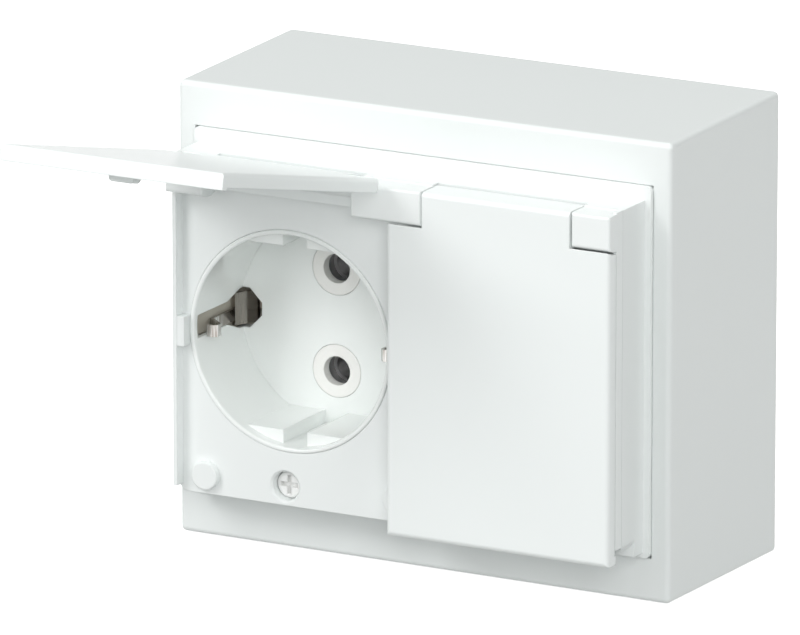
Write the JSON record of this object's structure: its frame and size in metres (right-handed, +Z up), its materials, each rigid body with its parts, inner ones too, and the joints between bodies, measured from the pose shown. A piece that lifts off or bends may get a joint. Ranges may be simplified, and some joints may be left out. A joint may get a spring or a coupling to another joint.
{
  "type": "double wall socket",
  "caption": "Surface-mounted weatherproof double mains socket with recessed round cups, side earth clips and a hinged lid over each cup",
  "frame": {"origin": "the middle of the box's flat back, which stands on the wall", "axes": "+Y into the wall, +X to the right seen from the front, +Z up"},
  "size_m": [0.0998, 0.1126, 0.089],
  "materials": {
    "box_plastic": "satin gloss",
    "cover_plastic": "satin gloss",
    "lid_plastic": "satin gloss",
    "cup_plastic": "gloss",
    "bush_plastic": "satin gloss",
    "carrier_plastic": "matt",
    "seal_rubber": "matt",
    "nickel": "bright nickel plate",
    "brass_contact": "dull",
    "steel": "drawn",
    "screw_finish": "pale"
  },
  "bodies": {
    "housing": {"surface_box": "box_plastic", "back_plate": "box_plastic", "entry_membranes": "seal_rubber", "cover_gasket": "seal_rubber", "cover_frame": "cover_plastic", "cover_screws": "screw_finish", "upper_cup_retainer": "carrier_plastic", "lower_cup_retainer": "carrier_plastic", "retainer_screws": "screw_finish", "carrier_screws": "screw_finish", "left_hinge_pin": "steel", "left_socket_cup": "cup_plastic", "left_pin_bushes": "bush_plastic", "left_contact_carrier": "carrier_plastic", "left_earth_strap": "nickel", "left_earth_terminal": "brass_contact", "left_terminal_screws": "screw_finish", "left_line_contact": "brass_contact", "left_neutral_contact": "brass_contact", "right_hinge_pin": "steel", "right_socket_cup": "cup_plastic", "right_pin_bushes": "bush_plastic", "right_contact_carrier": "carrier_plastic", "right_earth_strap": "nickel", "right_earth_terminal": "brass_contact", "right_terminal_screws": "screw_finish", "right_line_contact": "brass_contact", "right_neutral_contact": "brass_contact"},
    "left_flap": {"left_lid": "lid_plastic"},
    "right_flap": {"right_lid": "lid_plastic"}
  },
  "joints": [
    {"name": "left_lid_hinge", "type": "hinge", "parent": "housing", "child": "left_flap", "pos_m": [-0.0219, -0.05215, 0.02955], "axis": [-1, 0, 0], "range_deg": [-103.6, 6.4]},
    {"name": "right_lid_hinge", "type": "hinge", "parent": "housing", "child": "right_flap", "pos_m": [0.0219, -0.05215, 0.02955], "axis": [-1, 0, 0], "range_deg": [0, 110]}
  ]
}
